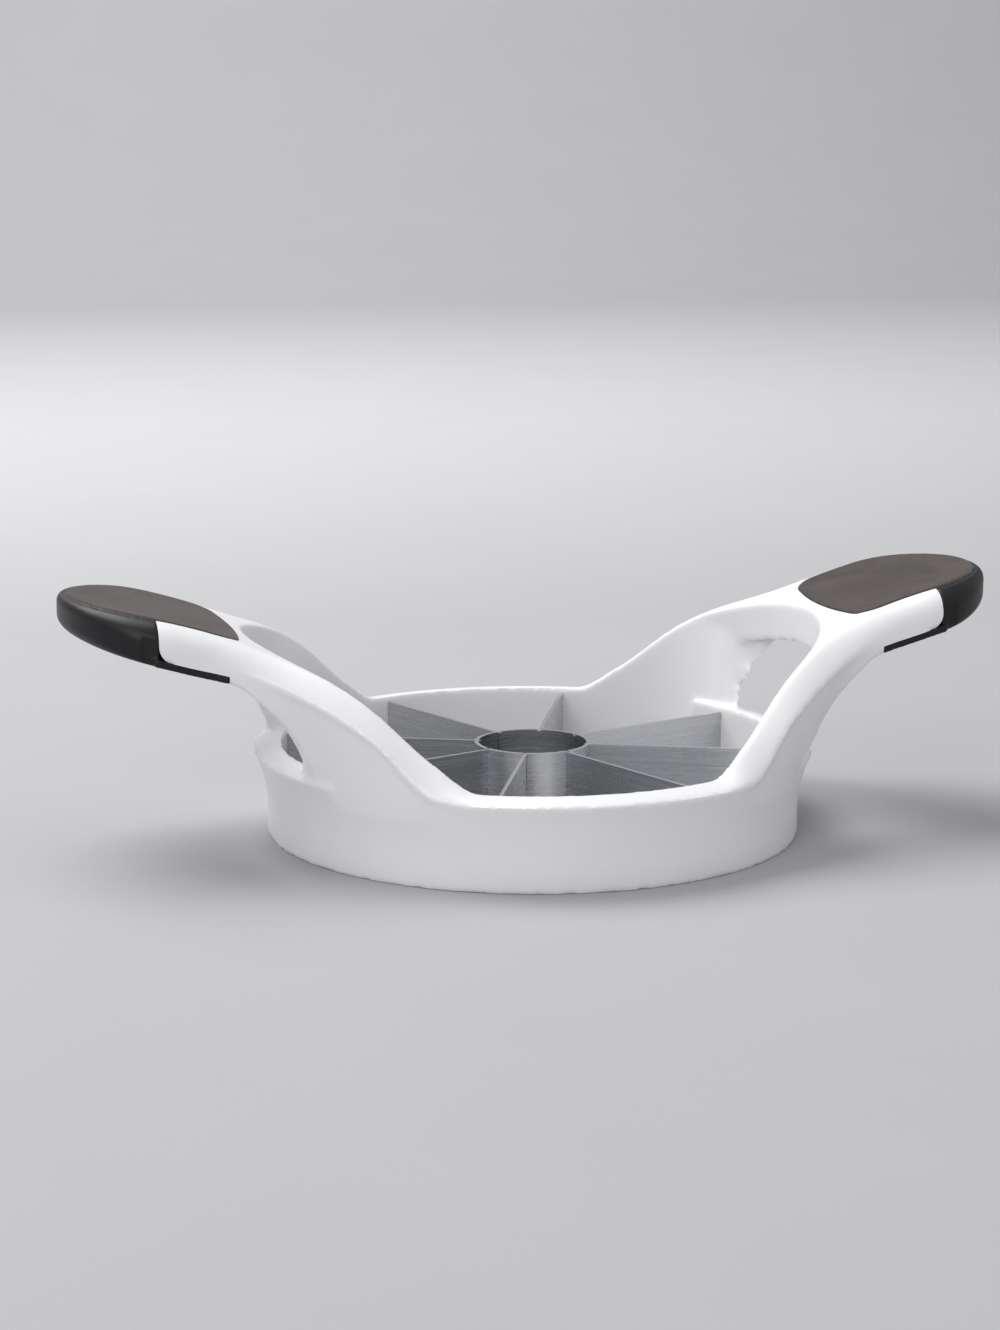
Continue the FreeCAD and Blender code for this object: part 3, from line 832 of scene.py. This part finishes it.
def relief(tree, pattern, strength, depth):
    """A bump from a pattern, with its depth in millimetres."""
    inputs = {"Height": pattern.outputs["Fac"], "Strength": strength, "Distance": depth * MM}
    return add_node(tree, "ShaderNodeBump", inputs)


def roughness_range(tree, pattern, low, high):
    """A roughness that moves between two values with a pattern."""
    inputs = {"Value": pattern.outputs["Fac"], "To Min": low, "To Max": high}
    return add_node(tree, "ShaderNodeMapRange", inputs)


def per_grain(millimetres):
    """The scale of a pattern whose grains are about this wide."""
    return 1 / (millimetres * MM)


def new_material(name, sockets):
    """A material with its principled shader and the coordinates of the object."""
    material = bpy.data.materials.new(name)
    material.use_nodes = True
    tree = material.node_tree
    shader = tree.nodes["Principled BSDF"]
    for socket, value in sockets.items():
        shader.inputs[socket].default_value = value
    place = add_node(tree, "ShaderNodeTexCoord", {})
    return material, tree, shader, place.outputs["Object"]


def finish_shader(tree, shader, **patterns):
    """Links the patterns for the colour, the roughness and the normal to the shader."""
    sockets = {
        "tint": ("Result", "Base Color"),
        "gloss": ("Result", "Roughness"),
        "bump": ("Normal", "Normal"),
    }
    for kind, node in patterns.items():
        source, target = sockets[kind]
        tree.links.new(node.outputs[source], shader.inputs[target])


WHITE = "F7F7F8"
COOL_WHITE = "F1F1F4"
print("white of the moulding, linear:", [round(value, 3) for value in linear(WHITE)[:3]])

# %% [markdown]
# ## White ABS, injection moulded
# ABS takes the polish of its mould: a soft gloss with a faint unevenness left by the cooling
# plastic. Broad, very weak clouds move its colour and gloss, and a fine shallow bump breaks the
# reflections up.

# %% The white of the moulding
white, tree, shader, place = new_material("white_abs_moulded", {
    "IOR": 1.53, "Roughness": 0.3, "Subsurface Weight": 0.04, "Subsurface Scale": 0.002,
    "Coat Weight": 0.15, "Coat Roughness": 0.12,
})
clouds = noise(tree, place, width=18, detail=2.0)
grain = noise(tree, place, width=0.6, detail=3.0)
finish_shader(
    tree, shader,
    tint=between(tree, clouds.outputs["Fac"], WHITE, COOL_WHITE),
    gloss=roughness_range(tree, clouds, low=0.26, high=0.36),
    bump=relief(tree, grain, strength=0.04, depth=0.2),
)
moulding.data.materials.append(white)
print("material:", white.name)

# %% [markdown]
# ## Black thermoplastic elastomer, with an eroded pad and a plain side
# The mould of the pad is spark-eroded, so the rubber comes out matt and grips the hand. Its
# brownish grey colour is painted sheen: the same black rubber, made lighter to stand for the light
# its matt top reflects. The sides come from a smoother mould and stay near black with a cool sheen.

# %% The two finishes of the soft grip
# The pad's material: real eroded roughness and grain, and a brownish grey colour that is painted sheen.
pad_finish_and_painted_sheen, tree, shader, place = new_material("black_elastomer_eroded_painted_sheen", {
    "IOR": 1.5, "Roughness": 0.78, "Sheen Weight": 0.15, "Sheen Roughness": 0.5,
    "Specular IOR Level": 0.35,
})
speckle = noise(tree, place, width=0.45, detail=4.0)
wear = noise(tree, place, width=11, detail=3.0)
both = {0: speckle.outputs["Fac"], 1: wear.outputs["Fac"]}
amount = add_node(tree, "ShaderNodeMath", both, operation="MULTIPLY")
shade = add_node(tree, "ShaderNodeMapRange", {
    "Value": amount.outputs["Value"], "From Min": 0.12, "From Max": 0.42,
})
# Painted sheen: the pad's two brownish greys stand for light off its matt top; the rubber itself is near
# black.
finish_shader(
    tree, shader,
    tint=between(tree, shade.outputs["Result"], "2B2321", "4C403B"),
    bump=relief(tree, speckle, strength=0.5, depth=0.3),
)

side_finish, tree, shader, place = new_material("black_elastomer_plain", {
    "IOR": 1.5, "Roughness": 0.4, "Specular IOR Level": 0.4,
})
clouds = noise(tree, place, width=6, detail=3.0)
grain = noise(tree, place, width=0.5, detail=3.0)
finish_shader(
    tree, shader,
    tint=between(tree, clouds.outputs["Fac"], "08080B", "121217"),
    gloss=roughness_range(tree, clouds, low=0.36, high=0.5),
    bump=relief(tree, grain, strength=0.12, depth=0.2),
)
print("materials:", pad_finish_and_painted_sheen.name, side_finish.name)

# %% [markdown]
# ## Where each finish of the grip lies
# The eroded finish with its painted sheen belongs to the pad alone. Its faces are found by where
# they lie and by their facing upwards, which also holds for the mirrored grip.

# %% Which faces of a grip belong to the pad
PAD_TOLERANCE = 0.1
FACING_UP = 0.5
for grip in (left_grip, right_grip):
    grip.data.materials.append(side_finish)
    grip.data.materials.append(pad_finish_and_painted_sheen)
    on_pad = 0
    for face in grip.data.polygons:
        out = abs(face.center.x) / MM
        y = face.center.y / MM
        high_enough = face.center.z / MM - crest(out) > -LEAF_DISH - PAD_TOLERANCE
        if high_enough and leaf_distance(out, y) < PAD_TOLERANCE and face.normal.z > FACING_UP:
            face.material_index = 1
            on_pad += 1
    print(grip.name, "faces of the pad:", on_pad)

# %% [markdown]
# ## Brushed stainless steel
# Blade strip is ground lengthwise on a belt, and the core ring is turned the same way round. Both
# leave fine level lines, so the pattern is squeezed along the height and stretched along the
# other two directions.

# %% The steel of the blades and the core ring
steel, tree, shader, place = new_material("stainless_brushed", {"Metallic": 1.0, "Roughness": 0.24})
LINE_LENGTH = 30
LINE_WIDTH = 0.25
stretch = (per_grain(LINE_LENGTH), per_grain(LINE_LENGTH), per_grain(LINE_WIDTH))
stretched = add_node(tree, "ShaderNodeMapping", {"Vector": place, "Scale": stretch})
inputs = {"Vector": stretched.outputs["Vector"], "Scale": 1.0, "Detail": 4.0}
lines = add_node(tree, "ShaderNodeTexNoise", inputs)
finish_shader(
    tree, shader,
    tint=between(tree, lines.outputs["Fac"], "B9BBBE", "DADBDD"),
    gloss=roughness_range(tree, lines, low=0.18, high=0.36),
    bump=relief(tree, lines, strength=0.15, depth=0.1),
)
steel_nodes = ["core_ring"] + ["blade_%d" % number for number in range(1, 9)]
for name in steel_nodes:
    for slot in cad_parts[name].material_slots:
        slot.material = steel
    print(name, "material slots:", len(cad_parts[name].material_slots))

# %% [markdown]
# ## The stage
# A pale floor that curves up into a wall gives an even ground with no horizon line. Its colour is
# a little darker than the moulding, so that the white edges can be read against it.

# %% The floor and the wall behind it
FLOOR_HALF = 3.0
WALL_START = 1.6
COVE_RADIUS = 0.8
COVE_STEPS = 24
LEVEL_TOLERANCE = 0.001
stage_mesh = bmesh.new()
first = [stage_mesh.verts.new((x, -FLOOR_HALF, 0)) for x in (-FLOOR_HALF, FLOOR_HALF)]
edge = stage_mesh.edges.new(first)
made = bmesh.ops.extrude_edge_only(stage_mesh, edges=[edge])["geom"]
corners = [item for item in made if isinstance(item, bmesh.types.BMVert)]
bmesh.ops.translate(stage_mesh, verts=corners, vec=(0, FLOOR_HALF + WALL_START, 0))
edge = [item for item in made if isinstance(item, bmesh.types.BMEdge) and set(item.verts) == set(corners)]
bmesh.ops.spin(
    stage_mesh, geom=edge, cent=(0, WALL_START, COVE_RADIUS), axis=(1, 0, 0), angle=math.pi / 2,
    steps=COVE_STEPS, use_merge=False, use_duplicate=False,
)
level = max(vert.co.z for vert in stage_mesh.verts) - LEVEL_TOLERANCE
edge = [item for item in stage_mesh.edges if all(vert.co.z > level for vert in item.verts)]
made = bmesh.ops.extrude_edge_only(stage_mesh, edges=edge)["geom"]
corners = [item for item in made if isinstance(item, bmesh.types.BMVert)]
bmesh.ops.translate(stage_mesh, verts=corners, vec=(0, 0, 2 * FLOOR_HALF))
floor = as_object(stage_mesh, "pale_floor")
floor.data.shade_smooth()
paper, tree, shader, place = new_material("pale_backdrop_paper", {"Roughness": 0.85})
clouds = noise(tree, place, width=60, detail=2.0)
finish_shader(tree, shader, tint=between(tree, clouds.outputs["Fac"], "B4B4B6", "B8B8BA"))
floor.data.materials.append(paper)
print("stage faces:", len(floor.data.polygons))

# %% [markdown]
# ## Light
# A large soft lamp high up behind the tool brightens what faces upwards, as a window does. A weaker
# one in front keeps the wall under the handles readable, a third lights the backdrop, and the
# room's own light fills the rest. Places and widths are metres here, and powers are watts.

# %% Soft lamps and the room's light
TOOL_MIDDLE = (0, 0, 0.02)
BACKDROP_MIDDLE = (0, 2.4, 0.7)
ROOM_STRENGTH = 0.55


def soft_lamp(name, place, width, power, aim):
    """A square lamp that faces a point."""
    lamp = bpy.data.lights.new(name, "AREA")
    lamp.size = width
    lamp.energy = power
    made = bpy.data.objects.new(name, lamp)
    made.location = place
    made.rotation_euler = (Vector(aim) - Vector(place)).to_track_quat("-Z", "Y").to_euler()
    bpy.context.scene.collection.objects.link(made)


soft_lamp("window_light", place=(-0.35, 0.45, 1.0), width=0.9, power=12.0, aim=TOOL_MIDDLE)
soft_lamp("front_light", place=(-0.75, -1.1, 0.75), width=0.7, power=4.5, aim=TOOL_MIDDLE)
soft_lamp("wall_light", place=(0, 0.7, 1.3), width=1.0, power=22.0, aim=BACKDROP_MIDDLE)
world = bpy.data.worlds.new("room")
world.use_nodes = True
background = world.node_tree.nodes["Background"]
background.inputs["Color"].default_value = linear("F8F8FA")
background.inputs["Strength"].default_value = ROOM_STRENGTH
bpy.context.scene.world = world
bpy.context.scene.view_settings.view_transform = "Standard"
print("lamps:", len(bpy.data.lights))

# %% [markdown]
# ## The camera
# It stands a little to the left of the middle and a hand's breadth above the handles, some sixty
# centimetres away, and is turned so that both handles are in the picture. Its focal length is
# given in the pixels of an upright picture of a known height, and turned to millimetres.

# %% The camera
IMAGE_HEIGHT = 1330
FOCAL_PIXELS = 2854.9
SENSOR_HEIGHT = 36.0
CAMERA_PLACE = Vector((-153.4, -558.3, 145.8)) * MM
CAMERA_AIM = Vector((-7.0, 0.0, 34.2)) * MM
CAMERA_ROLL = math.radians(0.18)
camera = bpy.data.cameras.new("camera")
camera.sensor_fit = "VERTICAL"
camera.sensor_height = SENSOR_HEIGHT
camera.lens = FOCAL_PIXELS * SENSOR_HEIGHT / IMAGE_HEIGHT
viewer = bpy.data.objects.new("camera", camera)
viewer.location = CAMERA_PLACE
turned = (CAMERA_AIM - CAMERA_PLACE).to_track_quat("-Z", "Y").to_matrix()
viewer.rotation_euler = (turned @ Matrix.Rotation(CAMERA_ROLL, 3, "Z")).to_euler()
bpy.context.scene.collection.objects.link(viewer)
bpy.context.scene.camera = viewer
print("lens, mm:", round(camera.lens, 2))
